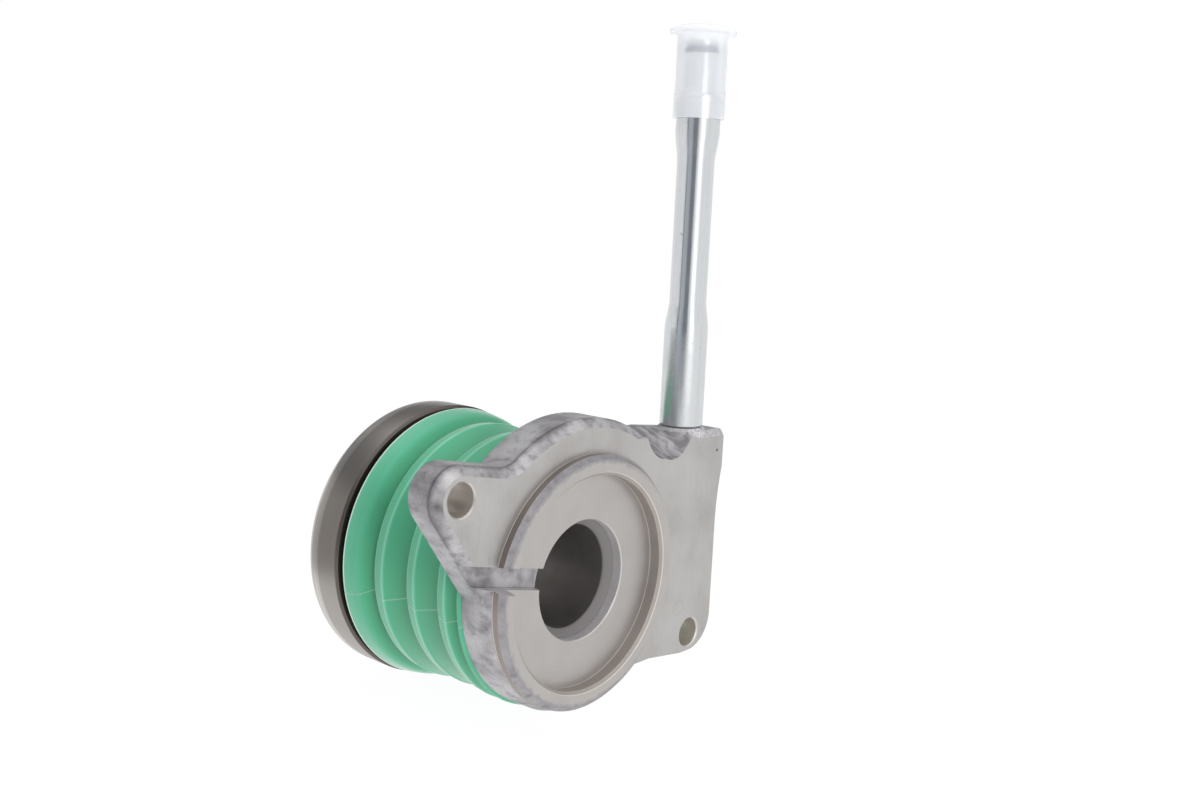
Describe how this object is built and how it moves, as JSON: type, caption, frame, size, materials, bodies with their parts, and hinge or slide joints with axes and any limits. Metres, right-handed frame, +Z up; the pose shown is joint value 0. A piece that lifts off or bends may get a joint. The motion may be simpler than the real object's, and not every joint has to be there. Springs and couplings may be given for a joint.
{
  "type": "clutch slave cylinder",
  "caption": "Concentric clutch slave cylinder with flanged casting, ribbed dust boot, release bearing and capped feed pipe.",
  "frame": {"origin": "on the bore axis, in the plane of the face that bolts to the gearbox", "axes": "+Y along the bore from the gearbox face to the release bearing, +Z up along the feed pipe, +X to the right seen from the gearbox side"},
  "size_m": [0.1148, 0.0711, 0.1873],
  "materials": {
    "cast_aluminium": "machined face on a matt die casting",
    "bearing_steel": "satin",
    "ball_steel": "polished",
    "tube_steel": "fine turned",
    "zinc_steel": "bright zinc plate",
    "spring_steel": "satin",
    "boot_rubber": "moulded, satin",
    "seal_rubber": "satin",
    "nipple_seal_rubber": "satin",
    "piston_polymer": "glass filled moulding",
    "cage_polymer": "moulded",
    "cap_polymer": "translucent milky moulding"
  },
  "bodies": {
    "housing": {"housing": "cast_aluminium", "guide_sleeve": "tube_steel", "sleeve_o_ring": "seal_rubber", "piston_stop_ring": "spring_steel", "boot_foot_ring": "zinc_steel", "preload_spring": "spring_steel", "dust_boot": "boot_rubber", "feed_pipe": "zinc_steel", "pipe_o_ring": "seal_rubber", "nipple_o_ring": "nipple_seal_rubber", "pipe_retaining_pin": "spring_steel", "oil_way_plug": "ball_steel"},
    "cap": {"transit_cap": "cap_polymer"},
    "piston": {"piston": "piston_polymer", "piston_seal": "seal_rubber", "spring_seat": "zinc_steel", "bearing_retainer": "zinc_steel"},
    "centring": {"centring_washer": "spring_steel"},
    "bearing_race": {"bearing_inner_race": "bearing_steel"},
    "bearing_shell": {"bearing_rotating_ring": "bearing_steel", "bearing_back_seal": "seal_rubber", "bearing_front_seal": "seal_rubber"},
    "ball_set": {"bearing_balls": "ball_steel", "bearing_cage": "cage_polymer"}
  },
  "joints": [
    {"name": "piston_slide", "type": "slide", "parent": "housing", "child": "piston", "axis": [0, 1, 0], "range_m": [-0.012, 0], "stiffness_N_per_m": 1500, "springref_m": 0.03, "deforming": ["dust_boot", "preload_spring"]},
    {"name": "cap_pull", "type": "slide", "parent": "housing", "child": "cap", "axis": [0, 0, 1], "range_m": [0, 0.03]},
    {"name": "centring_x", "type": "slide", "parent": "piston", "child": "centring", "axis": [1, 0, 0], "range_m": [-0.0008, 0.0008]},
    {"name": "centring_z", "type": "slide", "parent": "centring", "child": "bearing_race", "axis": [0, 0, 1], "range_m": [-0.0008, 0.0008]},
    {"name": "bearing_spin", "type": "hinge", "parent": "bearing_race", "child": "bearing_shell", "pos_m": [0, 0.0605, 0], "axis": [0, 1, 0], "continuous": true},
    {"name": "ball_orbit", "type": "hinge", "parent": "bearing_race", "child": "ball_set", "pos_m": [0, 0.0605, 0], "axis": [0, 1, 0], "continuous": true}
  ],
  "couplings": [
    {"joint": "ball_orbit", "follows": "bearing_spin", "ratio": 0.55}
  ]
}
